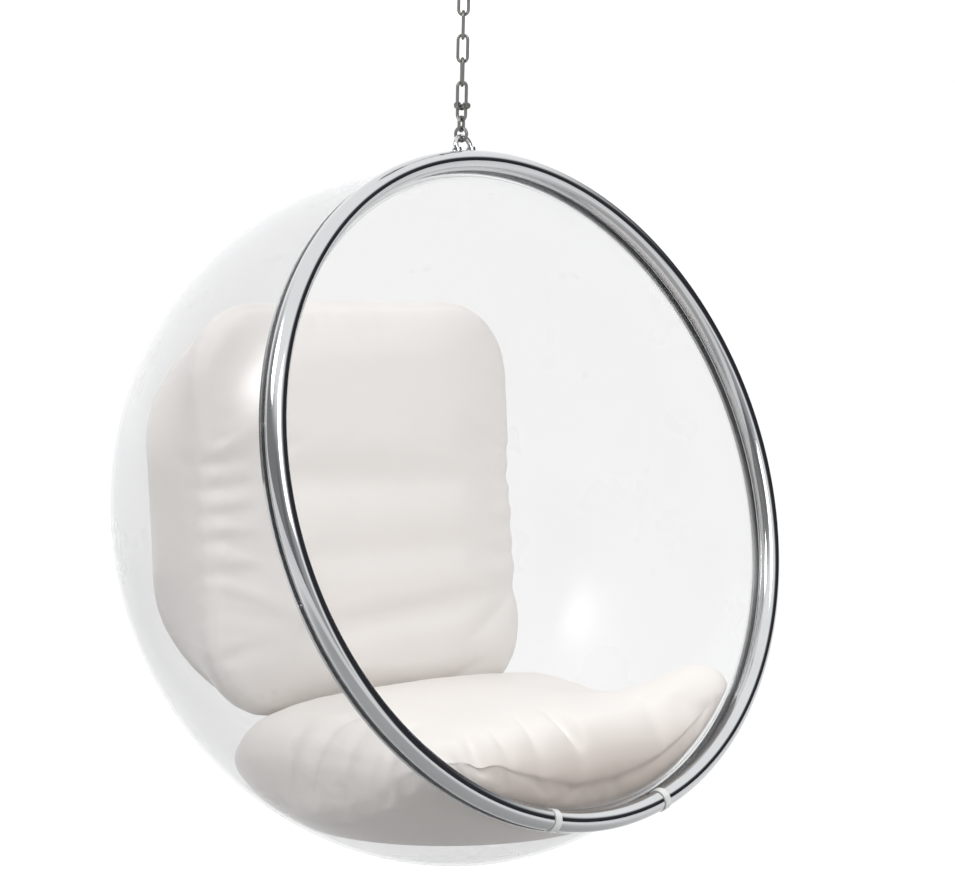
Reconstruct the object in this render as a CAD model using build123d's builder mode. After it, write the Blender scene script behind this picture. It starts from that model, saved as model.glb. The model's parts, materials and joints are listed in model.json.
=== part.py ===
from build123d import *
import math
import os

# Hanging bubble chair: a clear blown shell on a polished steel rim, hung from a ceiling swivel by a chain.
# Millimetres, +Z up. The origin is the centre of the ceiling plate's top face, and the chain hangs down Z.
# The mouth of the bubble faces -Y and looks up by rim_tilt, the angle at which the empty chair hangs.

os.makedirs("parts", exist_ok=True)

# Ceiling plate and swivel
plate_diameter = 110.0
plate_thickness = 6.0
plate_edge_chamfer = 1.5
plate_hole_circle = 84.0
plate_hole_diameter = 6.6
plate_hole_count = 4
plate_hole_first_angle = 45.0
housing_diameter = 44.0
housing_bore = 32.0
housing_depth = 30.0
housing_floor = 6.0
housing_edge_round = 3.0
stem_diameter = 12.0
stem_clearance = 0.2
bearing_diameter = 28.0
bearing_thickness = 5.0
bearing_clearance = 0.3
nut_across_flats = 20.0
nut_thickness = 8.0
nut_seat_gap = 0.1
eye_wire = 8.0
eye_inner_diameter = 22.0
eye_neck = 6.0
eye_turn = 44.0

# Chain, shackle, connector and round ring
hang_gap = 0.3
chain_wire = 5.0
chain_inner_length = 36.5
chain_inner_width = 10.0
chain_turns = (-46.0, 44.0, -46.0, 52.0, -20.0)
shackle_wire = 5.0
shackle_inner_width = 13.0
shackle_height = 23.0
shackle_turn = 90.0
shackle_eye_diameter = 11.0
shackle_eye_thickness = 5.0
pin_diameter = 5.0
pin_clearance = 0.1
pin_head_diameter = 9.0
pin_head_thickness = 3.5
pin_tip_length = 2.0
connector_wire = 5.0
connector_inner_length = 16.5
connector_inner_width = 10.0
connector_turn = 18.0
ring_wire = 5.0
ring_inner_diameter = 16.0
ring_turn = 99.0

# Rim, shell and their fasteners
rim_tilt = 18.7
rim_diameter = 1070.0
rim_bar_diameter = 32.0
rim_flat_depth = 3.0
seal_width = 18.0
seal_thickness = 2.0
shell_bulge = 29.0
shell_half_depth = 469.0
shell_centre_behind_rim = 213.0
shell_wall = 4.5
flange_setback = 3.0
clamp_thickness = 4.0
clamp_inner_clearance = 2.5
clamp_split = 1.5
screw_count = 12
screw_first_angle = 15.0
screw_diameter = 5.0
screw_clearance = 0.2
screw_reach = 14.0
screw_end_gap = 0.5
screw_head_diameter = 9.5
screw_head_height = 3.2

# Hanger on top of the rim
hanger_wire = 8.0
hanger_leg_spacing = 30.0
hanger_height = 22.0
hanger_clearance = 0.2
collar_diameter = 15.0
collar_height = 7.0

# Clips over the lower rim
clip_angle = 13.4
clip_width = 12.0
clip_thickness = 1.6
clip_clearance = 0.2

# Cushions, placed from the lowest and rearmost points of the bubble
cushion_seat_gap = 0.3
cover_thickness = 4.0
foam_clearance = 0.95
seat_width = 730.0
seat_depth = 570.0
seat_thickness = 165.0
seat_crown = 38.0
seat_centre_ahead = 91.8
seat_lift = 60.7
seat_corner = 110.0
seat_edge_roll = 52.0
seat_side_draw = 10.0
seat_foam_thickness = 165.0
back_width = 640.0
back_height = 616.0
back_thickness = 158.0
back_crown = 26.0
back_face_ahead = 301.5
back_recline = 6.5
back_corner = 105.0
back_edge_roll = 40.0
back_side_draw = 9.0
back_foam_thickness = 98.0

# Side of a stuffed pad from its underside up, as shares of its edge roll: how far up or down, how far in
pad_lower_edge = ((0.0, 0.60), (0.20, 0.22), (0.55, 0.04))
pad_upper_edge = ((0.75, 0.04), (0.32, 0.25), (0.0, 0.80))
# Crown of a pad: shares of the crown up, and of the edge roll in
pad_crown = ((0.45, 1.9), (0.82, 3.0), (1.0, 4.0))
pad_corner_shrink = 0.3


def hanging_plane(turn, height):
    """Upright plane through the hang axis: local x points along turn, local y points up."""
    angle = math.radians(turn)
    return Plane(
        origin=(0, 0, height),
        x_dir=(math.cos(angle), math.sin(angle), 0),
        z_dir=(math.sin(angle), -math.cos(angle), 0),
    )


# Heights of the hanging pieces, from the ceiling down. Each crown is the middle of its wire.
housing_bottom = -plate_thickness - housing_depth
bearing_seat = housing_bottom + housing_floor
nut_seat = bearing_seat + bearing_thickness + nut_seat_gap
stem_top = nut_seat + nut_thickness
eye_radius = (eye_inner_diameter + eye_wire) / 2
eye_centre = housing_bottom - eye_neck - eye_wire / 2 - eye_radius
eye_crown = eye_centre - eye_radius


def next_crown(crown, wire_above, wire_below):
    """Upper crown of the piece that hangs in a lower crown."""
    return crown + (wire_above + wire_below) / 2 + hang_gap


chain_length = chain_inner_length + chain_wire
chain_tops = [next_crown(eye_crown, eye_wire, chain_wire)]
for _ in chain_turns[1:]:
    chain_tops.append(next_crown(chain_tops[-1] - chain_length, chain_wire, chain_wire))
chain_bottoms = [top - chain_length for top in chain_tops]
pin_height = next_crown(chain_bottoms[-1], chain_wire, pin_diameter)
shackle_crown = pin_height - shackle_height
connector_top = next_crown(shackle_crown, shackle_wire, connector_wire)
connector_bottom = connector_top - connector_inner_length - connector_wire
ring_radius = (ring_inner_diameter + ring_wire) / 2
ring_top = next_crown(connector_bottom, connector_wire, ring_wire)
ring_centre = ring_top - ring_radius
ring_bottom = ring_top - 2 * ring_radius
hanger_crown = next_crown(ring_bottom, ring_wire, hanger_wire)

# Frame of the rim: normal out of the mouth, up in the plane of the rim, and its centre
tilt = math.radians(rim_tilt)
rim_normal = Vector(0, -math.cos(tilt), math.sin(tilt))
rim_up = Vector(0, math.sin(tilt), math.cos(tilt))
rim_outer_radius = rim_diameter / 2
rim_radius = (rim_diameter - rim_bar_diameter) / 2
rim_centre = Vector(0, 0, hanger_crown) - rim_up * (rim_outer_radius + hanger_height)
rim_axis = Axis(rim_centre, rim_normal)
rim_plane = Plane(origin=rim_centre, x_dir=(1, 0, 0), z_dir=rim_normal)
section_plane = Plane(origin=rim_centre, x_dir=(1, 0, 0), z_dir=-rim_up)
rim_flat_back = rim_flat_depth - rim_bar_diameter / 2
seal_back = rim_flat_back - seal_thickness
flange_back = seal_back - shell_wall
clamp_back = flange_back - clamp_thickness

# Bubble: a little wider than the rim, with its centre behind it; how far it reaches down and back from there
shell_radius = rim_radius + shell_bulge
flange_diameter = rim_diameter - 2 * flange_setback
bubble_centre = rim_centre - rim_normal * shell_centre_behind_rim
bubble_reach_down = math.hypot(shell_radius * math.cos(tilt), shell_half_depth * math.sin(tilt))
bubble_reach_back = math.hypot(shell_radius * math.sin(tilt), shell_half_depth * math.cos(tilt))
print("rim centre", rim_centre, "hanger crown", round(hanger_crown, 2))

# Ceiling plate: a round plate with screw holes round the swivel
with BuildPart() as ceiling_plate:
    with BuildSketch(Plane.XY.offset(-plate_thickness)):
        Circle(plate_diameter / 2)
        with PolarLocations(plate_hole_circle / 2, plate_hole_count, start_angle=plate_hole_first_angle):
            Circle(plate_hole_diameter / 2, mode=Mode.SUBTRACT)
    extrude(amount=plate_thickness)
    lower_circles = ceiling_plate.edges().filter_by(GeomType.CIRCLE).group_by(Axis.Z)[0]
    chamfer(lower_circles.sort_by(SortBy.RADIUS)[-1], plate_edge_chamfer)
ceiling_plate.part.label = "ceiling_plate"
export_step(ceiling_plate.part, "parts/ceiling_plate.step")

# Swivel housing: a cup under the plate whose floor carries the thrust bearing
with BuildPart() as swivel_housing:
    with BuildSketch(Plane.XY.offset(housing_bottom)):
        Circle(housing_diameter / 2)
        Circle(stem_diameter / 2 + stem_clearance, mode=Mode.SUBTRACT)
    extrude(amount=housing_depth)
    with BuildSketch(Plane.XY.offset(bearing_seat)):
        Circle(housing_bore / 2)
    extrude(amount=housing_depth - housing_floor, mode=Mode.SUBTRACT)
    lower_circles = swivel_housing.edges().filter_by(GeomType.CIRCLE).group_by(Axis.Z)[0]
    fillet(lower_circles.sort_by(SortBy.RADIUS)[-1], housing_edge_round)
swivel_housing.part.label = "swivel_housing"
export_step(swivel_housing.part, "parts/swivel_housing.step")

with BuildPart() as thrust_bearing:
    with BuildSketch(Plane.XY.offset(bearing_seat)):
        Circle(bearing_diameter / 2)
        Circle(stem_diameter / 2 + bearing_clearance, mode=Mode.SUBTRACT)
    extrude(amount=bearing_thickness)
thrust_bearing.part.label = "thrust_bearing"
export_step(thrust_bearing.part, "parts/thrust_bearing.step")

# Swivel eye: a stem with a forged eye below it, held up by a nut on the bearing
with BuildPart(hanging_plane(eye_turn, eye_centre)) as swivel_eye:
    Torus(eye_radius, eye_wire / 2)
    with BuildSketch(Plane.XY.offset(eye_centre + eye_radius)):
        Circle(stem_diameter / 2)
    extrude(amount=stem_top - eye_centre - eye_radius)
swivel_eye.part.label = "swivel_eye"
export_step(swivel_eye.part, "parts/swivel_eye.step")

with BuildPart() as swivel_nut:
    with BuildSketch(Plane.XY.offset(nut_seat)):
        RegularPolygon(nut_across_flats / 2, 6, major_radius=False)
        Circle(stem_diameter / 2, mode=Mode.SUBTRACT)
    extrude(amount=nut_thickness)
swivel_nut.part.label = "swivel_nut"
export_step(swivel_nut.part, "parts/swivel_nut.step")


def oval_link(turn, top, inner_length, inner_width, wire):
    """Welded link: round wire swept round a slot-shaped path whose upper crown is at top."""
    bend = (inner_width + wire) / 2
    straight = inner_length - inner_width
    with BuildPart() as link:
        with BuildLine(hanging_plane(turn, top - bend - straight / 2)) as path:
            Line((bend, -straight / 2), (bend, straight / 2))
            ThreePointArc((bend, straight / 2), (0, straight / 2 + bend), (-bend, straight / 2))
            Line((-bend, straight / 2), (-bend, -straight / 2))
            ThreePointArc((-bend, -straight / 2), (0, -straight / 2 - bend), (bend, -straight / 2))
        with BuildSketch(Plane(origin=path.wire() @ 0, z_dir=path.wire() % 0)):
            Circle(wire / 2)
        sweep()
    return link


# Chain: links of one size, each turned across its neighbours
for number, (turn, top) in enumerate(zip(chain_turns, chain_tops), start=1):
    chain_link = oval_link(turn, top, chain_inner_length, chain_inner_width, chain_wire)
    chain_link.part.label = f"chain_link_{number}"
    export_step(chain_link.part, f"parts/chain_link_{number}.step")

# Shackle: a bow with two eyes, closed by a headed pin that hangs in the last link
shackle_plane = hanging_plane(shackle_turn, pin_height)
pin_axis = shackle_plane.x_dir
pin_middle = Vector(0, 0, pin_height)
bow_half = (shackle_inner_width + shackle_wire) / 2
bow_bend_height = bow_half - shackle_height
ear_inner_face = shackle_inner_width / 2
ear_outer_face = ear_inner_face + shackle_eye_thickness
with BuildPart() as shackle_bow:
    with BuildLine(shackle_plane) as path:
        Line((bow_half, 0), (bow_half, bow_bend_height))
        ThreePointArc((bow_half, bow_bend_height), (0, -shackle_height), (-bow_half, bow_bend_height))
        Line((-bow_half, bow_bend_height), (-bow_half, 0))
    with BuildSketch(Plane(origin=path.wire() @ 0, z_dir=path.wire() % 0)):
        Circle(shackle_wire / 2)
    sweep()
    for side in (1, -1):
        inner_face = pin_middle + pin_axis * (side * ear_inner_face)
        with BuildSketch(Plane(origin=inner_face, z_dir=pin_axis * side)):
            Circle(shackle_eye_diameter / 2)
        extrude(amount=shackle_eye_thickness)
    with BuildSketch(Plane(origin=pin_middle, z_dir=pin_axis)):
        Circle(pin_diameter / 2 + pin_clearance)
    extrude(amount=ear_outer_face, both=True, mode=Mode.SUBTRACT)
shackle_bow.part.label = "shackle_bow"
export_step(shackle_bow.part, "parts/shackle_bow.step")

with BuildPart() as shackle_pin:
    head_plane = Plane(origin=pin_middle - pin_axis * ear_outer_face, z_dir=-pin_axis)
    with BuildSketch(head_plane):
        Circle(pin_head_diameter / 2)
    extrude(amount=pin_head_thickness)
    with BuildSketch(head_plane):
        Circle(pin_diameter / 2)
    extrude(amount=-(2 * ear_outer_face + pin_tip_length))
shackle_pin.part.label = "shackle_pin"
export_step(shackle_pin.part, "parts/shackle_pin.step")

# Connector and round ring: a short link and a ring between the shackle and the hanger
connector_link = oval_link(
    connector_turn, connector_top, connector_inner_length, connector_inner_width, connector_wire
)
connector_link.part.label = "connector_link"
export_step(connector_link.part, "parts/connector_link.step")

with BuildPart(hanging_plane(ring_turn, ring_centre)) as round_ring:
    Torus(ring_radius, ring_wire / 2)
round_ring.part.label = "round_ring"
export_step(round_ring.part, "parts/round_ring.step")

# Rim: a solid round bar bent into a ring, with a flat milled behind it and tapped for the clamp screws
screw_places = PolarLocations(rim_radius, screw_count, start_angle=screw_first_angle)
with BuildPart() as rim_ring:
    with BuildSketch(section_plane):
        with Locations((rim_radius, 0)):
            Circle(rim_bar_diameter / 2)
        with Locations((rim_radius, rim_flat_back - rim_bar_diameter / 2)):
            Rectangle(2 * rim_bar_diameter, rim_bar_diameter, mode=Mode.SUBTRACT)
    revolve(axis=rim_axis)
    with BuildSketch(rim_plane.offset(rim_flat_back)):
        with screw_places:
            Circle(screw_diameter / 2 + screw_clearance)
    extrude(amount=screw_reach, mode=Mode.SUBTRACT)
rim_ring.part.label = "rim_ring"
export_step(rim_ring.part, "parts/rim_ring.step")

# Seal: a flat ring between the milled seat and the flange
with BuildPart() as rim_seal:
    with BuildSketch(rim_plane.offset(seal_back)):
        Circle(rim_radius + seal_width / 2)
        Circle(rim_radius - seal_width / 2, mode=Mode.SUBTRACT)
        with screw_places:
            Circle(screw_diameter / 2 + screw_clearance, mode=Mode.SUBTRACT)
    extrude(amount=seal_thickness)
rim_seal.part.label = "rim_seal"
export_step(rim_seal.part, "parts/rim_seal.step")


def shell_edge(depth, inset=0.0):
    """Radius of the bubble at a depth behind the rim, for the face that lies inset inside the outer one."""
    share = (depth - shell_centre_behind_rim) / (shell_half_depth - inset)
    return (shell_radius - inset) * math.sqrt(1 - share * share)


# Bubble: a blown dome with a turned-out flange, one profile turned about the axis of the rim
with BuildPart() as bubble_shell:
    with BuildSketch(section_plane):
        with Locations((0, -shell_centre_behind_rim)):
            Ellipse(shell_radius, shell_half_depth)
            Ellipse(shell_radius - shell_wall, shell_half_depth - shell_wall, mode=Mode.SUBTRACT)
        with Locations((-shell_radius, -shell_centre_behind_rim)):
            Rectangle(2 * shell_radius, 4 * shell_half_depth, mode=Mode.SUBTRACT)
        with Locations((0, seal_back + shell_half_depth)):
            Rectangle(4 * shell_radius, 2 * shell_half_depth, mode=Mode.SUBTRACT)
        flange_inner = (shell_edge(-seal_back) + shell_edge(-flange_back, shell_wall)) / 2
        flange_width = flange_diameter / 2 - flange_inner
        with Locations((flange_inner + flange_width / 2, seal_back - shell_wall / 2)):
            Rectangle(flange_width, shell_wall)
    revolve(axis=rim_axis)
    with BuildSketch(rim_plane.offset(seal_back)):
        with screw_places:
            Circle(screw_diameter / 2 + screw_clearance)
    extrude(amount=-shell_wall, mode=Mode.SUBTRACT)
bubble_shell.part.label = "bubble_shell"
export_step(bubble_shell.part, "parts/bubble_shell.step")

# Clamp ring: a flat steel ring behind the flange, in two halves because the bubble is wider than its neck
clamp_inner_radius = shell_edge(-clamp_back) + clamp_inner_clearance
for side, name in ((1, "clamp_ring_right"), (-1, "clamp_ring_left")):
    with BuildPart() as clamp_half:
        with BuildSketch(rim_plane.offset(clamp_back)):
            Circle(flange_diameter / 2)
            Circle(clamp_inner_radius, mode=Mode.SUBTRACT)
            with Locations((-side * (rim_diameter - clamp_split) / 2, 0)):
                Rectangle(rim_diameter, 2 * rim_diameter, mode=Mode.SUBTRACT)
            with screw_places:
                Circle(screw_diameter / 2 + screw_clearance, mode=Mode.SUBTRACT)
        extrude(amount=clamp_thickness)
    clamp_half.part.label = name
    export_step(clamp_half.part, f"parts/{name}.step")

# Clamp screws: button heads behind the ring, shanks through flange and seal into the bar
screw_shank = rim_flat_back - clamp_back + screw_reach - screw_end_gap
with BuildPart() as rim_screws:
    with BuildSketch(rim_plane.offset(clamp_back)):
        with screw_places:
            Circle(screw_head_diameter / 2)
    extrude(amount=-screw_head_height)
    with BuildSketch(rim_plane.offset(clamp_back)):
        with screw_places:
            Circle(screw_diameter / 2)
    extrude(amount=screw_shank)
rim_screws.part.label = "rim_screws"
export_step(rim_screws.part, "parts/rim_screws.step")

# Hanger: a bent rod whose legs stand in two saddle collars welded to the top of the rim
hanger_bend = hanger_leg_spacing / 2
hanger_top = rim_outer_radius + hanger_height
hanger_spring = hanger_top - hanger_bend
leg_end = rim_outer_radius + hanger_clearance
with BuildPart() as hanger_bow:
    with BuildLine(rim_plane) as path:
        Line((hanger_bend, leg_end), (hanger_bend, hanger_spring))
        ThreePointArc((hanger_bend, hanger_spring), (0, hanger_top), (-hanger_bend, hanger_spring))
        Line((-hanger_bend, hanger_spring), (-hanger_bend, leg_end))
    with BuildSketch(Plane(origin=path.wire() @ 0, z_dir=path.wire() % 0)):
        Circle(hanger_wire / 2)
    sweep()
hanger_bow.part.label = "hanger_bow"
export_step(hanger_bow.part, "parts/hanger_bow.step")

hanger_plane = Plane(origin=rim_centre, x_dir=(1, 0, 0), z_dir=rim_up)
with BuildPart() as hanger_collars:
    with BuildSketch(hanger_plane.offset(rim_outer_radius - collar_height / 2)):
        with Locations((hanger_bend, 0), (-hanger_bend, 0)):
            Circle(collar_diameter / 2)
            Circle(hanger_wire / 2 + hanger_clearance, mode=Mode.SUBTRACT)
    extrude(amount=collar_height)
    with BuildSketch(section_plane):
        with Locations((rim_radius, 0)):
            Circle(rim_bar_diameter / 2)
    revolve(axis=rim_axis, mode=Mode.SUBTRACT)
hanger_collars.part.label = "hanger_collars"
export_step(hanger_collars.part, "parts/hanger_collars.step")

# Clips: two short bands that snap over the front of the lower rim
clip_inner = rim_bar_diameter / 2 + clip_clearance
clip_sweep = math.degrees(clip_width / rim_radius)
clip_back = rim_flat_back + clip_clearance
with BuildPart() as rim_clips:
    for side in (-1, 1):
        start = side * clip_angle - clip_sweep / 2
        radial = (rim_up * -1).rotate(rim_axis, start)
        with BuildSketch(Plane(origin=rim_centre, x_dir=radial, z_dir=radial.cross(rim_normal))):
            with Locations((rim_radius, 0)):
                Circle(clip_inner + clip_thickness)
                Circle(clip_inner, mode=Mode.SUBTRACT)
            with Locations((rim_radius, clip_back - rim_bar_diameter)):
                Rectangle(2 * rim_bar_diameter, 2 * rim_bar_diameter, mode=Mode.SUBTRACT)
        revolve(axis=rim_axis, revolution_arc=clip_sweep)
rim_clips.part.label = "rim_clips"
export_step(rim_clips.part, "parts/rim_clips.step")


def pad_outline(half_x, half_y, corner, draw):
    """Outline of a stuffed pad: rounded corners, and sides that pull in between them."""
    slant = corner * (1 - math.sqrt(0.5))
    with BuildLine() as outline:
        for sx, sy in ((1, 1), (1, -1), (-1, -1), (-1, 1)):
            ThreePointArc(
                (sx * (half_x - corner), sy * half_y),
                (sx * (half_x - slant), sy * (half_y - slant)),
                (sx * half_x, sy * (half_y - corner)),
            )
        for sy in (1, -1):
            left = (corner - half_x, sy * half_y)
            right = (half_x - corner, sy * half_y)
            ThreePointArc(left, (0, sy * (half_y - draw)), right)
        for sx in (1, -1):
            lower = (sx * half_x, corner - half_y)
            upper = (sx * half_x, half_y - corner)
            ThreePointArc(lower, (sx * (half_x - draw), 0), upper)
    make_face(outline.edges())


def pad_solid(plane, width, depth, thickness, crown, corner, roll, draw, skin):
    """Crowned pad lofted up from plane, skin thinner all round, and trimmed to the inside of the bubble."""
    total = thickness + crown
    squeeze = (total - 2 * skin) / total
    levels = [(rise * roll, inset * roll) for rise, inset in pad_lower_edge]
    levels += [(thickness - drop * roll, inset * roll) for drop, inset in pad_upper_edge]
    levels += [(thickness + rise * crown, inset * roll) for rise, inset in pad_crown]
    with BuildPart() as pad:
        for height, inset in levels:
            half_x = width / 2 - inset - skin
            half_y = depth / 2 - inset - skin
            with BuildSketch(plane.offset(skin + height * squeeze)):
                pad_outline(half_x, half_y, corner - pad_corner_shrink * inset, draw)
        loft(ruled=True)
        inset_from_shell = shell_wall + cushion_seat_gap + skin
        with BuildSketch(section_plane):
            with Locations((0, -shell_centre_behind_rim)):
                Ellipse(shell_radius - inset_from_shell, shell_half_depth - inset_from_shell)
            with Locations((-shell_radius, -shell_centre_behind_rim)):
                Rectangle(2 * shell_radius, 4 * shell_half_depth, mode=Mode.SUBTRACT)
        revolve(axis=rim_axis, mode=Mode.INTERSECT)
    return pad


seat_plane = Plane(origin=bubble_centre + Vector(0, -seat_centre_ahead, seat_lift - bubble_reach_down))
lean = math.radians(back_recline)
back_normal = Vector(0, -math.cos(lean), math.sin(lean))
back_face = bubble_centre + Vector(0, bubble_reach_back - back_face_ahead, 0)
back_plane = Plane(origin=back_face - back_normal * back_thickness, x_dir=(1, 0, 0), z_dir=back_normal)

# Cushions: a foam core against the front of a sewn cover, which is slack behind it
cushions = (
    ("seat", seat_plane, seat_width, seat_depth, seat_thickness, seat_foam_thickness,
     seat_crown, seat_corner, seat_edge_roll, seat_side_draw),
    ("back", back_plane, back_width, back_height, back_thickness, back_foam_thickness,
     back_crown, back_corner, back_edge_roll, back_side_draw),
)
for name, plane, width, depth, thickness, foam_thickness, *form in cushions:
    outer = pad_solid(plane, width, depth, thickness, *form, skin=0.0)
    hollow = pad_solid(plane, width, depth, thickness, *form, skin=cover_thickness)
    foam_plane = plane.offset(thickness - foam_thickness)
    foam = pad_solid(foam_plane, width, depth, foam_thickness, *form, skin=cover_thickness + foam_clearance)
    with BuildPart() as cover:
        add(outer.part)
        add(hollow.part, mode=Mode.SUBTRACT)
    foam.part.label = f"{name}_foam"
    cover.part.label = f"{name}_cover"
    export_step(foam.part, f"parts/{name}_foam.step")
    export_step(cover.part, f"parts/{name}_cover.step")
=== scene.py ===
# %% [markdown]
# # A hanging bubble chair
# A clear blown bubble sits on a polished steel ring and hangs from a ceiling swivel by a short chain.
# Two satin cushions lie loose inside it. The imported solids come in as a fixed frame, in metres: the small
# steel pieces of the chain and the clamp stay as they are, and the ring, the bubble and the cushions are
# modelled again here, because mirror steel, clear acrylic and stuffed cloth need smoother and softer meshes
# than the solids have.

# %% Load the frame
import json
import math

import bmesh
import bpy
import numpy as np
from mathutils import Matrix, Vector
from mathutils.bvhtree import BVHTree


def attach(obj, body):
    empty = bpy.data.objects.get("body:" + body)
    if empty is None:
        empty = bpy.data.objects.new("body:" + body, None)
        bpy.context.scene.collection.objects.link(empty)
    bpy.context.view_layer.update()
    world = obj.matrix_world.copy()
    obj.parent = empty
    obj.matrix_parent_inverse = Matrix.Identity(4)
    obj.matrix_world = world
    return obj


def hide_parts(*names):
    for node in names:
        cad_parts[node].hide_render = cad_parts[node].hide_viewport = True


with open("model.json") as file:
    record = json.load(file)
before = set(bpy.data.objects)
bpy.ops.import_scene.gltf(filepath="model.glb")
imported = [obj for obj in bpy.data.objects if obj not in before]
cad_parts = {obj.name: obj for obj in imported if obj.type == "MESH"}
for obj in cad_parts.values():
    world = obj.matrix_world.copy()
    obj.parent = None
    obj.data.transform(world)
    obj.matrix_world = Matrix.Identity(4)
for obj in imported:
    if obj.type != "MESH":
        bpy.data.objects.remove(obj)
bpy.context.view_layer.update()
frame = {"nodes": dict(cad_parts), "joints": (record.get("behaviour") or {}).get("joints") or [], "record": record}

# %% [markdown]
# ## Shader maths as Python
# Node trees grow fast when each Math node is added by hand. One small class wraps a socket and overloads
# Python's operators, so that a mask reads like a formula, and a finish has one method that adds any other
# node.

# %% Signals
def plug(tree, place, value):
    """Links a signal to a socket, or sets a plain value on it."""
    if isinstance(value, Signal):
        tree.links.new(value.socket, place)
    else:
        place.default_value = value


class Signal:
    """A socket that takes part in Python sums."""

    def __init__(self, tree, socket):
        self.tree = tree
        self.socket = socket

    def maths(self, operation, *values):
        node = self.tree.nodes.new("ShaderNodeMath")
        node.operation = operation
        for place, value in zip(node.inputs, values):
            plug(self.tree, place, value)
        return Signal(self.tree, node.outputs[0])

    def __add__(self, other):
        return self.maths("ADD", self, other)

    def __radd__(self, other):
        return self.maths("ADD", other, self)

    def __sub__(self, other):
        return self.maths("SUBTRACT", self, other)

    def __rsub__(self, other):
        return self.maths("SUBTRACT", other, self)

    def __mul__(self, other):
        return self.maths("MULTIPLY", self, other)

    def __rmul__(self, other):
        return self.maths("MULTIPLY", other, self)

    def __pow__(self, other):
        return self.maths("POWER", self, other)


# %% Finishes
class Finish:
    """A node tree, and the one method that adds a node to it."""

    def __init__(self, owner):
        owner.use_nodes = True
        self.owner = owner
        self.tree = owner.node_tree
        self.tree.nodes.clear()

    def node(self, kind, settings=None, sockets=None, output=0):
        made = self.tree.nodes.new("ShaderNode" + kind)
        for name, value in (settings or {}).items():
            setattr(made, name, value)
        for name, value in (sockets or {}).items():
            plug(self.tree, made.inputs[name], value)
        return Signal(self.tree, made.outputs[output])

    def place(self, scale):
        """Object coordinates, stretched by scale along each axis."""
        spot = self.node("TexCoord", output="Object")
        return self.node("Mapping", sockets={"Vector": spot, "Scale": scale})

    def speckle(self, scale, detail=3.0, stretch=(1, 1, 1)):
        """Soft noise from 0 to 1 at scale spots a metre."""
        sockets = {"Vector": self.place(stretch), "Scale": scale, "Detail": detail}
        return self.node("TexNoise", sockets=sockets, output="Fac")

    def mix(self, share, first, second):
        """Blends two colours; a Mix node keeps its colour sockets at 6 and 7."""
        sockets = {0: share, 6: first, 7: second}
        return self.node("Mix", {"data_type": "RGBA"}, sockets, output=2)

    def bump(self, height, depth, strength=1.0):
        return self.node("Bump", sockets={"Height": height, "Distance": depth, "Strength": strength})

    def surface(self, shader):
        ending = "OutputWorld" if isinstance(self.owner, bpy.types.World) else "OutputMaterial"
        last = self.tree.nodes.new("ShaderNode" + ending)
        plug(self.tree, last.inputs["Surface"], shader)


def new_finish(name):
    return Finish(bpy.data.materials.new(name))


print("signals and finishes are ready")

# %% [markdown]
# ## The frame of the ring
# Everything sits on the ring: it leans back by the angle at which the empty chair hangs, below the crown of
# its hanger. A matrix with the ring's own sideways, upward and outward directions lets each round piece be
# made flat at the origin and moved into place in one step.

# %% Ring, bubble and their places
RIM_TILT = math.radians(18.7)
RIM_RADIUS = 0.519
RIM_BAR = 0.032
RIM_FLAT = -0.013
HANGER_TO_CENTRE = 0.557
SHELL_RADIUS = 0.548
SHELL_HALF_DEPTH = 0.469
SHELL_BEHIND = 0.213
SHELL_WALL = 0.0045
FLANGE_RADIUS = 0.532
FLANGE_MIDDLE = -0.01725

hang_point = Vector(next(j["pos_m"] for j in frame["joints"] if j["name"] == "chair_rock"))
rim_out = Vector((0, -math.cos(RIM_TILT), math.sin(RIM_TILT)))
rim_up = Vector((0, math.sin(RIM_TILT), math.cos(RIM_TILT)))
rim_centre = hang_point - rim_up * HANGER_TO_CENTRE
bubble_centre = rim_centre - rim_out * SHELL_BEHIND
ring_frame = Matrix((Vector((1, 0, 0)), rim_up, rim_out)).transposed().to_4x4()
ring_frame.translation = rim_centre
print("ring centre", [round(c, 4) for c in rim_centre])


# %% Turning a bmesh into a piece
def make_piece(name, bm, finish, body, replaced):
    """Closes a bmesh into an object that rides on a body and stands for the named solids."""
    mesh = bpy.data.meshes.new(name)
    bm.to_mesh(mesh)
    bm.free()
    piece = bpy.data.objects.new(name, mesh)
    bpy.context.scene.collection.objects.link(piece)
    mesh.materials.append(finish.owner)
    mesh.shade_smooth()
    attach(piece, body)
    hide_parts(*replaced)
    print(name, len(mesh.polygons), "faces")
    return piece


# %% [markdown]
# ## Steel
# The ring is mirror polished, so almost all its look comes from what it reflects: a smooth surface, a grey
# base and a little unevenness in the polish. The chain is plated wire, darker and rougher, with dull specks.

# %% Steel finishes
CLOUDS = 9.0
SPECK_DEPTH = 0.00002


def steel(name, colour, dull, low, high, grain):
    """Polished metal: colour fades to dull, and roughness goes from low to high, in soft clouds."""
    finish = new_finish(name)
    cloudy = finish.speckle(CLOUDS, 4.0)
    specks = finish.speckle(grain, 2.0)
    shade = finish.mix(cloudy * 0.5 + specks * 0.5, (*colour, 1), (*dull, 1))
    rough = low + (high - low) * cloudy
    normal = finish.bump(specks, SPECK_DEPTH, 0.4)
    sockets = {"Base Color": shade, "Metallic": 1.0, "Roughness": rough, "Normal": normal}
    finish.surface(finish.node("BsdfPrincipled", sockets=sockets))
    return finish


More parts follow.
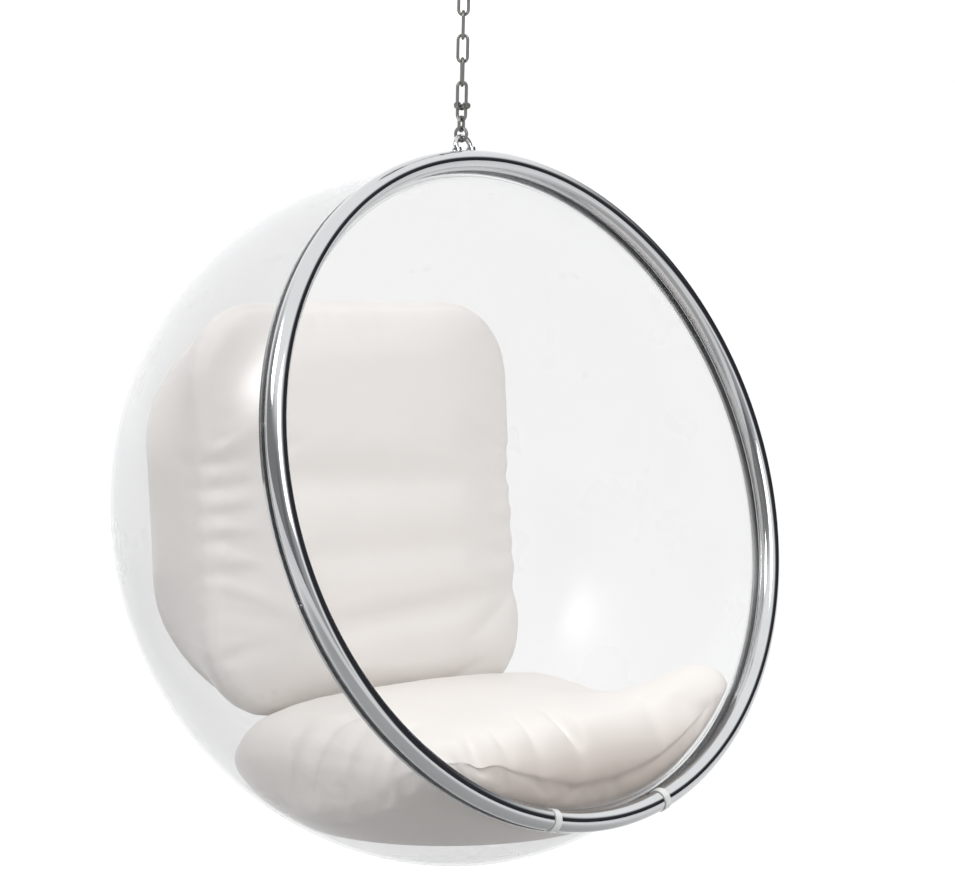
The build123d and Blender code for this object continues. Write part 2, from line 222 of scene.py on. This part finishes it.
mirror_steel = steel("mirror_steel", (0.62, 0.63, 0.64), (0.45, 0.46, 0.47), low=0.05, high=0.13, grain=900)
plated_chain = steel("plated_chain", (0.30, 0.30, 0.29), (0.13, 0.13, 0.12), low=0.22, high=0.45, grain=700)
brushed_mount = steel("brushed_mount", (0.70,) * 3, (0.58,) * 3, low=0.28, high=0.45, grain=1200)
bearing_steel = steel("ground_bearing", (0.62,) * 3, (0.50,) * 3, low=0.18, high=0.32, grain=800)
print("steel finishes made")

# %% [markdown]
# ## Ring
# A round bar bent into a circle, milled flat behind where the bubble's flange is clamped. One round section
# with its rear points pulled up to the flat is spun about the axis of the ring.

# %% Spin the ring
RING_STEPS = 288
SECTION_STEPS = 48
bm = bmesh.new()
upright = Matrix.Translation((RIM_RADIUS, 0, 0)) @ Matrix.Rotation(math.pi / 2, 4, "X")
section = bmesh.ops.create_circle(bm, segments=SECTION_STEPS, radius=RIM_BAR / 2, matrix=upright)["verts"]
for vert in section:
    vert.co.z = max(vert.co.z, RIM_FLAT)
bmesh.ops.spin(bm, geom=bm.verts[:] + bm.edges[:], cent=(0, 0, 0), axis=(0, 0, 1), angle=2 * math.pi,
               steps=RING_STEPS, use_merge=True)
bmesh.ops.remove_doubles(bm, verts=bm.verts, dist=1e-6)
bmesh.ops.recalc_face_normals(bm, faces=bm.faces)
bmesh.ops.transform(bm, matrix=ring_frame, verts=bm.verts)
make_piece("ring", bm, mirror_steel, "chair", ["rim_ring"])

# %% [markdown]
# ## Bubble
# Clear acrylic, blown into a dome and turned out into a flange behind the ring. What shows of it are its
# mirrored lights, which grow towards the edge, and a slight grey where the eye looks along the wall. A shader
# that mixes a transparent and a glossy part by the angle of view gives both, and it can be exported, which a
# refracting one can't.

# %% Acrylic finish
MIRROR_FACING = 0.03
MIRROR_AT_EDGE = 0.5
acrylic = new_finish("clear_acrylic")
scuffs = acrylic.speckle(6.0, 3.0)
edge_on = acrylic.node("LayerWeight", sockets={"Blend": 0.5}, output="Facing")
glance = MIRROR_FACING + MIRROR_AT_EDGE * edge_on ** 5.0
clear = acrylic.node("BsdfTransparent", sockets={"Color": (0.938, 0.938, 0.939, 1)})
gloss_sockets = {"Base Color": (0.95, 0.96, 0.97, 1), "Metallic": 1.0, "Roughness": 0.20 + 0.12 * scuffs}
gloss = acrylic.node("BsdfPrincipled", sockets=gloss_sockets)
acrylic.surface(acrylic.node("MixShader", sockets={0: glance, 1: clear, 2: gloss}))
print("acrylic made")

# %% Blow the bubble
BUBBLE_SEGMENTS = 160
BUBBLE_RINGS = 96
bm = bmesh.new()
bmesh.ops.create_uvsphere(bm, u_segments=BUBBLE_SEGMENTS, v_segments=BUBBLE_RINGS, radius=1)
middle = SHELL_WALL / 2
blow = Matrix.Diagonal((SHELL_RADIUS - middle, SHELL_RADIUS - middle, SHELL_HALF_DEPTH - middle, 1))
bmesh.ops.transform(bm, matrix=Matrix.Translation((0, 0, -SHELL_BEHIND)) @ blow, verts=bm.verts)
bmesh.ops.bisect_plane(bm, geom=bm.verts[:] + bm.edges[:] + bm.faces[:], plane_co=(0, 0, FLANGE_MIDDLE),
                       plane_no=(0, 0, 1), clear_outer=True)
neck = [edge for edge in bm.edges if edge.is_boundary]
turned = bmesh.ops.extrude_edge_only(bm, edges=neck)["geom"]
lip = [item for item in turned if isinstance(item, bmesh.types.BMVert)]
neck_radius = lip[0].co.xy.length
bmesh.ops.scale(bm, vec=(FLANGE_RADIUS / neck_radius, FLANGE_RADIUS / neck_radius, 1), verts=lip)
bmesh.ops.recalc_face_normals(bm, faces=bm.faces)
bmesh.ops.transform(bm, matrix=ring_frame, verts=bm.verts)
bubble = make_piece("bubble", bm, acrylic, "chair", ["bubble_shell"])
thick = bubble.modifiers.new("Wall", "SOLIDIFY")
thick.thickness = SHELL_WALL
thick.offset = 0
print("neck radius", round(neck_radius, 4))

# %% [markdown]
# ## Satin
# The covers are a warm ivory satin: a soft sheen, a slightly uneven tone and a fine weave that only shows
# close up. Low on the front of the seat the cloth colour is darkened to a brownish painted shade, as in the
# photograph, because light alone leaves it too bright there.

# %% Satin finish
# Where the painted shade lies: below these heights, and mostly towards the seat's front.
PAINTED_SHADE_TOP, PAINTED_SHADE_FULL = -1.12, -1.26
FRONT_EDGE, FRONT_FULL = -0.26, -0.33
PAINTED_SHADE_BEHIND = 0.12
THREADS = 260.0
WEAVE_DEPTH = 0.00025
satin = new_finish("ivory_satin")
broad = satin.speckle(5.0, 3.0)
fine = satin.speckle(60.0, 4.0)
tone = satin.mix(broad, (0.83, 0.80, 0.775, 1), (0.785, 0.75, 0.72, 1))
spot = satin.place((1, 1, 1))
up = satin.node("SeparateXYZ", sockets={"Vector": spot}, output="Z")
ahead = satin.node("SeparateXYZ", sockets={"Vector": spot}, output="Y")
# Painted shade: the cloth colour turns brownish low on the front of the seat and stands in for shadow there.
low_down = satin.node("MapRange", sockets={"Value": up, "From Min": PAINTED_SHADE_TOP, "From Max": PAINTED_SHADE_FULL})
in_front = satin.node("MapRange", sockets={"Value": ahead, "From Min": FRONT_EDGE, "From Max": FRONT_FULL})
painted_shade_share = low_down * (PAINTED_SHADE_BEHIND + (1 - PAINTED_SHADE_BEHIND) * in_front)
tone = satin.mix(painted_shade_share, tone, (0.45, 0.385, 0.34, 1))
warp = satin.node("TexWave", {"bands_direction": "X"}, {"Vector": satin.place((1, 1, 1)), "Scale": THREADS})
weft = satin.node("TexWave", {"bands_direction": "Z"}, {"Vector": satin.place((1, 1, 1)), "Scale": THREADS})
weave = satin.bump(warp * 0.5 + weft * 0.5 + fine * 0.6, WEAVE_DEPTH, 0.5)
satin_sockets = {"Base Color": tone, "Roughness": 0.46 + 0.16 * fine, "Normal": weave, "Sheen Weight": 0.25,
                 "Sheen Roughness": 0.4, "Specular IOR Level": 0.45}
satin.surface(satin.node("BsdfPrincipled", sockets=satin_sockets))
print("satin made")

# %% [markdown]
# ## Cushions
# A cushion is a sewn bag over foam. It starts as a block with rounded corners, slightly smaller than the
# finished pad, gets its crown and the pull of its sides, and is swollen by a short cloth run. The underside
# is held during the run, and on the back pad the seams are held too. The cloth is a little larger than the
# bag, so that it wrinkles.

# %% Plan of a pad
class Pad:
    """Sizes of a boxed cushion, in its own frame: x across, y along, z up from its underside."""

    def __init__(self, width, length, height, crown, corner, roll, draw):
        self.half_x = width / 2
        self.half_y = length / 2
        self.height = height
        self.crown = crown
        self.corner = corner
        self.roll = roll
        self.draw = draw

    def outside(self, points, inset):
        """How far points lie outside the plan, drawn in by inset; negative inside."""
        across = np.abs(points[:, 0]) - self.half_x + inset + self.corner
        along = np.abs(points[:, 1]) - self.half_y + inset + self.corner
        beyond = np.hypot(np.maximum(across, 0), np.maximum(along, 0))
        return beyond + np.minimum(np.maximum(across, along), 0) - self.corner

    def seam_distance(self, points, level, inset):
        return np.hypot(self.outside(points, inset), points[:, 2] - level)


def read_points(mesh):
    points = np.empty(len(mesh.vertices) * 3)
    mesh.vertices.foreach_get("co", points)
    return points.reshape(-1, 3)


def write_points(mesh, points):
    mesh.vertices.foreach_set("co", points.ravel())
    mesh.update()


# %% Cut and remesh a block
VOXEL = 0.0065


def stuffed_block(name, pad):
    """A block with rounded corners and rolled edges, remeshed into even cloth."""
    bm = bmesh.new()
    bmesh.ops.create_cube(bm, size=1)
    size = (2 * pad.half_x, 2 * pad.half_y, pad.height)
    bmesh.ops.scale(bm, vec=size, verts=bm.verts)
    bmesh.ops.translate(bm, vec=(0, 0, pad.height / 2), verts=bm.verts)
    posts = [e for e in bm.edges if abs(e.verts[0].co.z - e.verts[1].co.z) > pad.height / 2]
    bmesh.ops.bevel(bm, geom=posts, offset=pad.corner, segments=12, profile=0.5, affect="EDGES", material=-1)
    hoops = [e for e in bm.edges if abs(e.verts[0].co.z - e.verts[1].co.z) < 1e-5]
    bmesh.ops.bevel(bm, geom=hoops, offset=pad.roll, segments=6, profile=0.5, affect="EDGES", material=-1)
    bmesh.ops.recalc_face_normals(bm, faces=bm.faces)
    piece = make_piece(name, bm, satin, "chair", [name + "_cover", name + "_foam"])
    remesh = piece.modifiers.new("Cloth grid", "REMESH")
    remesh.voxel_size = VOXEL
    graph = bpy.context.evaluated_depsgraph_get()
    even = bpy.data.meshes.new_from_object(piece.evaluated_get(graph))
    piece.modifiers.clear()
    piece.data = even
    even.shade_smooth()
    print(name, len(even.vertices), "points of cloth")
    return piece


# %% Keep a pad inside the bubble
CUSHION_GAP = 0.0015


def keep_inside(points):
    """Presses points that reach past the bubble's inner wall back onto it."""
    reach = points - np.array(bubble_centre)
    out = reach @ np.array(rim_out)
    side = np.sqrt(np.maximum((reach ** 2).sum(1) - out ** 2, 0))
    wall_side = SHELL_RADIUS - SHELL_WALL - CUSHION_GAP
    wall_deep = SHELL_HALF_DEPTH - SHELL_WALL - CUSHION_GAP
    over = np.sqrt((side / wall_side) ** 2 + (out / wall_deep) ** 2)
    return np.array(bubble_centre) + reach / np.maximum(over, 1)[:, None]


# %% Swell a pad
CLOTH_FRAMES = 20
LEAST_PIN = 0.02


def swell(piece, pinned, limit, extra):
    """Runs the cloth and moves each point by what it gives, but no further than limit."""
    rest = read_points(piece.data)
    group = piece.vertex_groups.new(name="held")
    for index in np.nonzero(pinned > LEAST_PIN)[0]:
        group.add([int(index)], float(pinned[index]), "REPLACE")
    cloth = piece.modifiers.new("Cloth", "CLOTH")
    cloth.settings.vertex_group_mass = "held"
    cloth.settings.use_pressure = True
    cloth.settings.uniform_pressure_force = 4
    cloth.settings.effector_weights.gravity = 0
    cloth.settings.shrink_min = -extra
    cloth.settings.bending_stiffness = 0.25
    cloth.settings.quality = 6
    cloth.point_cache.frame_start = 1
    cloth.point_cache.frame_end = CLOTH_FRAMES
    for number in range(1, CLOTH_FRAMES + 1):
        bpy.context.scene.frame_set(number)
    graph = bpy.context.evaluated_depsgraph_get()
    moved = read_points(piece.evaluated_get(graph).data) - rest
    piece.modifiers.remove(cloth)
    piece.vertex_groups.remove(group)
    bpy.context.scene.frame_set(1)
    far = np.linalg.norm(moved, axis=1)
    write_points(piece.data, rest + moved * np.minimum(1, limit / np.maximum(far, 1e-9))[:, None])
    print(piece.name, "swelled by", round(float(far.max()) * 1000, 1), "mm at most")


# %% [markdown]
# ## Seat cushion
# The seat is a boxed pad, dished where people sit, with its far front corner pushed up by the stuffing. Its
# underside rests on the bubble. Soft valleys run in from the seams.

# %% Shape helpers
VALLEY_END = 0.02
CROWN_FALL = 2.5


def ease(values, low, high):
    """Rises smoothly from 0 at low to 1 at high."""
    share = np.clip((values - low) / (high - low), 0, 1)
    return share * share * (3 - 2 * share)


def hump(points, x, y, reach):
    """A soft round rise over one place of the plan."""
    return np.exp(-((points[:, 0] - x) ** 2 + (points[:, 1] - y) ** 2) / reach ** 2)


def valley(points, start, end, width):
    """A soft line across the plan that fades out at both ends."""
    a = np.array(start)
    run = np.array(end) - a
    share = np.clip((points[:, :2] - a) @ run / (run @ run), 0, 1)
    away = np.linalg.norm(points[:, :2] - a - share[:, None] * run, axis=1)
    return np.exp(-(away / width) ** 2) * np.sqrt(4 * np.clip(share * (1 - share), VALLEY_END, 0.25))


def crowned(pad, points):
    """Adds the crown on top and draws the sides in between the corners."""
    out = points.copy()
    x = points[:, 0] / pad.half_x
    y = points[:, 1] / pad.half_y
    top = ease(points[:, 2], 0.5 * pad.height, pad.height)
    out[:, 2] += pad.crown * top * (1 - np.abs(x) ** CROWN_FALL) * (1 - np.abs(y) ** CROWN_FALL)
    out[:, 0] -= np.sign(x) * pad.draw * np.abs(x) ** 3 * (1 - y ** 2)
    out[:, 1] -= np.sign(y) * pad.draw * np.abs(y) ** 3 * (1 - x ** 2)
    return out


def pressed_rear(pad, points, corner, spread):
    """Rounds the rear corners to a larger radius and widens the face by spread."""
    out = points.copy()
    front = ease(points[:, 2], 0, pad.height)
    rounder = Pad(2 * pad.half_x, 2 * pad.half_y, pad.height, pad.crown, corner, pad.roll, pad.draw)
    over = np.maximum(rounder.outside(points, 0), 0) * (1 - front)
    across = np.maximum(np.abs(points[:, 0]) - pad.half_x + corner, 0)
    along = np.maximum(np.abs(points[:, 1]) - pad.half_y + corner, 0)
    reach = np.maximum(np.hypot(across, along), 1e-6)
    out[:, 0] -= np.sign(points[:, 0]) * over * across / reach
    out[:, 1] -= np.sign(points[:, 1]) * over * along / reach
    out[:, 0] *= 1 + spread * front / pad.half_x
    return out


# %% Seams
SEAM_WIDTH = 0.0055
PUCKER_HEIGHT = 0.0011
PUCKER_AWAY = 0.018
PUCKER_WIDTH = 0.014
PUCKERS_ROUND = 37
PUCKER_BUNCHES = 23
PUCKER_DRIFTS = 5
HELD_FROM, HELD_TO = 0.010, 0.030


def sew(piece, pad, points, seams, depth):
    """Pulls the seams in and lets the cloth pucker beside them."""
    normals = np.empty(len(points) * 3)
    piece.data.vertices.foreach_get("normal", normals)
    normals = normals.reshape(-1, 3)
    moved = read_points(piece.data)
    turn = np.arctan2(points[:, 1] / pad.half_y, points[:, 0] / pad.half_x)
    for number, (level, inset) in enumerate(seams):
        away = pad.seam_distance(points, level, inset)
        drift = 3 * np.sin(turn * PUCKER_DRIFTS + number)
        ripple = np.sin(turn * PUCKERS_ROUND + drift) * np.sin(turn * PUCKER_BUNCHES + 1.3 * number)
        beside = np.exp(-((away - PUCKER_AWAY) / PUCKER_WIDTH) ** 2)
        moved -= normals * (depth * np.exp(-(away / SEAM_WIDTH) ** 2))[:, None]
        moved += normals * (PUCKER_HEIGHT * ripple * beside)[:, None]
    write_points(piece.data, moved)


def underside(points):
    """1 at the underside of a pad, and 0 a little above it."""
    return 1 - ease(points[:, 2], HELD_FROM, HELD_TO)


def stuff(piece, pad, points, held, limit, extra, seams, depth):
    """Swells and sews a shaped pad, and presses it back inside the bubble after each."""
    swell(piece, held, limit, extra)
    write_points(piece.data, keep_inside(read_points(piece.data)))
    sew(piece, pad, points, seams, depth)
    write_points(piece.data, keep_inside(read_points(piece.data)))


# %% Seat
# Creases are (depth, start, end, width), in metres on the pad's own plan.
BUBBLE_DROP = 0.540411
SEAT_LIFT = 0.0607
SEAT_RAISE = 0.010
SEAT_AHEAD = 0.0918
SEAT_ASIDE = 0.016
CORNER_RISE = 0.074
SEAT_DISH = 0.020
REAR_DROP = 0.022
EDGE_HOLD = 0.75
SEAT_SEAM = 0.030
SEAM_INSET = 0.010
SIDE_PUCKER = 0.008
SIDE_PUCKER_WIDTH = 0.009
seat_pad = Pad(width=0.712, length=0.566, height=0.154, crown=0.026, corner=0.130, roll=0.054, draw=0.008)
seat_origin = bubble_centre + Vector((SEAT_ASIDE, -SEAT_AHEAD, SEAT_LIFT - BUBBLE_DROP + SEAT_RAISE))
seat = stuffed_block("seat", seat_pad)
seat_rest = read_points(seat.data)
shaped = crowned(seat_pad, seat_rest)
seat_top = ease(seat_rest[:, 2], 0.4 * seat_pad.height, 0.9 * seat_pad.height)
far_corner = hump(seat_rest, x=0.33, y=-0.20, reach=0.11)
sat_on = hump(seat_rest, x=0.24, y=0.02, reach=0.12)
shaped[:, 2] += seat_top * (CORNER_RISE * far_corner - SEAT_DISH * sat_on)
shaped[:, 2] -= seat_top * REAR_DROP * ease(seat_rest[:, 1], 0.18, 0.27)
crease_room = seat_top * (1 - EDGE_HOLD * ease(seat_pad.outside(seat_rest, 0), -0.05, -0.012))
creases = [
    (0.026, (-0.05, -0.31), (-0.02, -0.16), 0.012),
    (0.012, (-0.15, -0.31), (-0.08, -0.14), 0.011),
    (0.011, (-0.21, -0.31), (-0.17, -0.18), 0.010),
    (0.009, (-0.28, -0.29), (-0.21, -0.16), 0.014),
    (0.008, (0.12, -0.31), (0.18, -0.18), 0.015),
    (0.008, (-0.38, 0.05), (-0.22, 0.02), 0.016),
    (0.010, (-0.38, -0.12), (-0.25, -0.09), 0.014),
]
for depth, start, end, width in creases:
    shaped[:, 2] -= crease_room * depth * valley(seat_rest, start, end, width)
near_side = ease(-seat_rest[:, 0], 0.30, 0.35) * ease(seat_rest[:, 2], 0.03, 0.07)
for along in (-0.17, -0.12, -0.085, -0.03, 0.04, 0.09):
    shaped[:, 0] += near_side * SIDE_PUCKER * np.exp(-((seat_rest[:, 1] - along) / SIDE_PUCKER_WIDTH) ** 2)
write_points(seat.data, keep_inside(shaped + np.array(seat_origin)))
seat_seams = [(seat_pad.height - SEAT_SEAM, SEAM_INSET), (SEAT_SEAM, SEAM_INSET)]
stuff(seat, seat_pad, seat_rest, underside(seat_rest), limit=0.022, extra=0.008, seams=seat_seams, depth=0.0012)

# %% [markdown]
# ## Back cushion
# The back is a squarer pad that leans and rolls a little. Broad soft folds cross it, short puckers run in
# from its sides, and the corners of its rear are rounded off to go into the bubble.

# %% Back
BACK_LEAN = math.radians(8.0)
BACK_ROLL = math.radians(-2.0)
BUBBLE_REACH = 0.477722
BACK_AHEAD = 0.3015
BACK_DEEP = 0.164
BACK_RAISE = 0.002
BACK_SEAM = 0.013
SEAM_HOLD = 0.8
SEAM_HOLD_WIDTH = 0.006
SEAM_PULL = 0.0015
TOP_SEAM_PULL = 0.0030
back_out = Vector((0, -math.cos(BACK_LEAN), math.sin(BACK_LEAN)))
back_up = Vector((0, math.sin(BACK_LEAN), math.cos(BACK_LEAN)))
back_pad = Pad(width=0.682, length=0.664, height=0.176, crown=0.014, corner=0.135, roll=0.036, draw=0.008)
back_foot = bubble_centre + Vector((0, BUBBLE_REACH - BACK_AHEAD, 0))
back_origin = back_foot - back_out * BACK_DEEP + back_up * BACK_RAISE
back_roll = Matrix.Rotation(BACK_ROLL, 3, back_out)
back_turn = np.array([(back_roll @ Vector((1, 0, 0)))[:], (back_roll @ back_up)[:], back_out[:]])
back = stuffed_block("back", back_pad)
back_rest = read_points(back.data)
shaped = pressed_rear(back_pad, crowned(back_pad, back_rest), corner=0.32, spread=0.008)
back_top = ease(back_rest[:, 2], 0.5 * back_pad.height, 0.95 * back_pad.height)
folds = [
    (0.014, (-0.34, 0.05), (0.34, 0.03), 0.034),
    (0.007, (-0.20, -0.08), (0.36, -0.07), 0.024),
    (0.015, (-0.18, -0.20), (0.38, -0.145), 0.020),
]
puckers = [(0.007, (side * 0.36, level), (side * 0.25, level + 0.01), 0.009)
           for side in (-1, 1) for level in (0.07, 0.03, -0.01, -0.05, -0.10)]
for depth, start, end, width in folds + puckers:
    shaped[:, 2] -= back_top * depth * valley(back_rest, start, end, width)
write_points(back.data, keep_inside(shaped @ back_turn + np.array(back_origin)))
back_seams = [(back_pad.height - BACK_SEAM, SEAM_INSET), (BACK_SEAM, SEAM_INSET)]
by_seam = [np.exp(-(back_pad.seam_distance(back_rest, *seam) / SEAM_HOLD_WIDTH) ** 2) for seam in back_seams]
back_held = np.maximum(SEAM_HOLD * np.max(by_seam, axis=0), underside(back_rest))
back_pull = SEAM_PULL + TOP_SEAM_PULL * ease(back_rest[:, 1], 0.20, 0.30)
stuff(back, back_pad, back_rest, back_held, limit=0.016, extra=0.006, seams=back_seams, depth=back_pull)

# %% [markdown]
# ## Where the cushions meet
# The cloth is smoothed a little, and then the seat, the softer of the two, gives way where it would reach
# into the back.

# %% Smooth the cloth and let the seat give way
PAD_GAP = 0.002
PAD_SEARCH = 0.06


def soften(piece, rounds):
    """Evens out the smallest folds."""
    bm = bmesh.new()
    bm.from_mesh(piece.data)
    for _ in range(rounds):
        bmesh.ops.smooth_vert(bm, verts=bm.verts, factor=0.5,
                              use_axis_x=True, use_axis_y=True, use_axis_z=True)
    bm.to_mesh(piece.data)
    bm.free()


def give_way(piece, other):
    """Moves points that reach into another pad back out to its surface."""
    tree = BVHTree.FromObject(other, bpy.context.evaluated_depsgraph_get())
    points = read_points(piece.data)
    pressed = 0
    for number, point in enumerate(points):
        touch, normal, _, _ = tree.find_nearest(Vector(point), PAD_SEARCH)
        if touch is not None:
            short = PAD_GAP - (Vector(point) - touch).dot(normal)
            if short > 0:
                points[number] += np.array(normal) * short
                pressed += 1
    write_points(piece.data, points)
    print(piece.name, "gives way at", pressed, "points")


soften(seat, 4)
soften(back, 3)
give_way(seat, back)
for cushion in (seat, back):
    finer = cushion.modifiers.new("Finer cloth", "SUBSURF")
    finer.levels = 1
    finer.render_levels = 1
print("cushions smoothed")

# %% [markdown]
# ## Small pieces
# The mount, the chain, the hanger and the clamp keep their solids, whose shapes are right, and get their
# finishes here. The seal is a pale soft rubber and the clips are a pale, half clear plastic.

# %% Rubber and clip finishes
rubber = new_finish("pale_rubber")
dust = rubber.speckle(300.0, 3.0)
rubber_tone = rubber.mix(dust, (0.78, 0.79, 0.79, 1), (0.66, 0.67, 0.67, 1))
rubber_sockets = {"Base Color": rubber_tone, "Roughness": 0.6 + 0.2 * dust, "Normal": rubber.bump(dust, 0.0001)}
rubber.surface(rubber.node("BsdfPrincipled", sockets=rubber_sockets))

clip_plastic = new_finish("clip_plastic")
haze = clip_plastic.speckle(120.0, 3.0)
clip_tone = clip_plastic.mix(haze, (0.88, 0.88, 0.87, 1), (0.80, 0.80, 0.79, 1))
clip_sockets = {"Base Color": clip_tone, "Roughness": 0.15 + 0.2 * haze, "Alpha": 0.75}
clip_plastic.surface(clip_plastic.node("BsdfPrincipled", sockets=clip_sockets))
print("rubber and clip plastic made")

# %% Dress the solids
dressing = {
    "mount_steel": brushed_mount,
    "bearing_steel": bearing_steel,
    "chain_steel": plated_chain,
    "polished_steel": mirror_steel,
    "seal_rubber": rubber,
    "clip_plastic": clip_plastic,
}
slot_of = {row["node"]: row["material_slot"] for row in frame["record"]["subparts"]}
for name, solid in frame["nodes"].items():
    if slot_of[name] in dressing:
        for slot in solid.material_slots:
            slot.material = dressing[slot_of[name]].owner
print("solids dressed")

# %% [markdown]
# ## Camera
# The view is the photograph's: from the left of the mouth and a little above, with a long lens and a roll of
# about a degree, which tips the chain as the photograph shows it. The ring's centre falls a little right of
# and below the middle of the picture.

# %% Camera
VIEW_TURN = math.radians(-46.12)
VIEW_RISE = math.radians(6.98)
VIEW_ROLL = math.radians(1.16)
VIEW_DISTANCE = 6.0
AIM_LEFT = 0.0905
AIM_UP = 0.0752
to_eye = Vector((math.sin(VIEW_TURN) * math.cos(VIEW_RISE), -math.cos(VIEW_TURN) * math.cos(VIEW_RISE),
                 math.sin(VIEW_RISE)))
view_right = Vector((math.cos(VIEW_TURN), math.sin(VIEW_TURN), 0))
view_up = view_right.cross(-to_eye)
tipped_right = view_right * math.cos(VIEW_ROLL) + view_up * math.sin(VIEW_ROLL)
tipped_up = view_up * math.cos(VIEW_ROLL) - view_right * math.sin(VIEW_ROLL)
lens = bpy.data.cameras.new("view")
lens.sensor_fit = "HORIZONTAL"
lens.sensor_width = 36
lens.lens = 147.63
lens.clip_end = 200
eye = bpy.data.objects.new("view", lens)
bpy.context.scene.collection.objects.link(eye)
eye.location = rim_centre + to_eye * VIEW_DISTANCE
aim = rim_centre - tipped_right * AIM_LEFT + tipped_up * AIM_UP
look = (aim - eye.location).to_track_quat("-Z", "Y").to_matrix() @ Matrix.Rotation(VIEW_ROLL, 3, "Z")
eye.rotation_euler = look.to_euler()
bpy.context.scene.camera = eye
bpy.context.scene.view_settings.view_transform = "Standard"
print("camera", [round(c, 3) for c in eye.location])

# %% [markdown]
# ## Floor and light
# A very large pale floor fills the picture. It is white but for a patch of painted shade in front of the
# chair, grey like a shadow, which also dims the light the floor throws back and so greys the underside of the
# ring and the cushions. The world is a pale tent that is dark on three sides: to the right, which gives the
# polished bar its black line, ahead, and to the left. Soft boxes stand where the bubble mirrors them.

# %% Floor
FLOOR_HEIGHT = -1.95
FLOOR_SIZE = 90
SHADE_PATCH_AHEAD = 1.6
SHADE_PATCH_INNER, SHADE_PATCH_OUTER = 0.9, 3.4
floor_finish = new_finish("pale_floor")
# Painted shade: the floor is grey around a point in front of the chair and fades to white further off.
shade_patch_centre = (to_eye * SHADE_PATCH_AHEAD)[:2] + (FLOOR_HEIGHT,)
far_off = floor_finish.node("VectorMath", {"operation": "DISTANCE"},
                            {0: floor_finish.place((1, 1, 1)), 1: shade_patch_centre}, output="Value")
far_share = floor_finish.node("MapRange", {"interpolation_type": "SMOOTHERSTEP"},
                              {"Value": far_off, "From Min": SHADE_PATCH_INNER, "From Max": SHADE_PATCH_OUTER})
floor_tone = floor_finish.mix(far_share, (0.42, 0.42, 0.42, 1), (0.99, 0.99, 0.99, 1))
floor_finish.surface(floor_finish.node("BsdfPrincipled", sockets={"Base Color": floor_tone, "Roughness": 0.9}))
bm = bmesh.new()
bmesh.ops.create_grid(bm, x_segments=2, y_segments=2, size=FLOOR_SIZE)
bmesh.ops.translate(bm, vec=(0, 0, FLOOR_HEIGHT), verts=bm.verts)
floor_mesh = bpy.data.meshes.new("floor")
bm.to_mesh(floor_mesh)
bm.free()
floor = bpy.data.objects.new("floor", floor_mesh)
floor_mesh.materials.append(floor_finish.owner)
bpy.context.scene.collection.objects.link(floor)
print("floor at", FLOOR_HEIGHT)

# %% World
TENT_STRENGTH = 1.3
tent = Finish(bpy.data.worlds.new("tent"))
bpy.context.scene.world = tent.owner
way = tent.node("TexCoord", output="Generated")


def towards(direction):
    """How closely the way looked lies along a direction, from -1 to 1."""
    return tent.node("VectorMath", {"operation": "DOT_PRODUCT"}, {0: way, 1: direction}, output="Value")


def band(value, low, high):
    """Rises smoothly from 0 at low to 1 at high."""
    sockets = {"Value": value, "From Min": low, "From Max": high}
    return tent.node("MapRange", {"interpolation_type": "SMOOTHSTEP"}, sockets)


dark_side = (view_right * 0.93 - to_eye * 0.37).normalized()
dark_front = (to_eye * 0.95 + view_right * 0.2).normalized()
dark_left = (to_eye * 0.55 - view_right * 0.83).normalized()
height = towards((0, 0, 1))
level = 1 - band(height * height, 0.12, 0.34)
shade = band(towards(dark_side), 0.50, 0.75) * level
dusk = band(towards(dark_front), 0.74, 0.92) * 0.7
left_level = 1 - band(height * height, 0.25, 0.65)
left_dusk = band(towards(dark_left), 0.20, 0.70) * left_level * 0.85
tent_tone = tent.mix(left_dusk, (1, 1, 1, 1), (0.10, 0.10, 0.10, 1))
tent_tone = tent.mix(shade, tent_tone, (0.03, 0.03, 0.035, 1))
tent_tone = tent.mix(dusk, tent_tone, (0.12, 0.12, 0.13, 1))
tent.surface(tent.node("Background", sockets={"Color": tent_tone, "Strength": TENT_STRENGTH}))
print("tent made")


# %% Soft boxes
def soft_box(name, place, size, power):
    """A square light that looks at the ring's centre."""
    lamp = bpy.data.lights.new(name, "AREA")
    lamp.size = size
    lamp.energy = power
    box = bpy.data.objects.new(name, lamp)
    bpy.context.scene.collection.objects.link(box)
    box.location = place
    box.rotation_euler = (rim_centre - Vector(place)).to_track_quat("-Z", "Y").to_euler()


soft_box("upper_left_box", (-2.18, 0.86, 0.94), size=0.6, power=6)
soft_box("near_left_box", (-1.46, 0.21, 0.47), size=0.6, power=11)
soft_box("front_box", (-0.8, -3.0, 1.2), size=1.6, power=34)
print("lights", [lamp.name for lamp in bpy.data.lights])
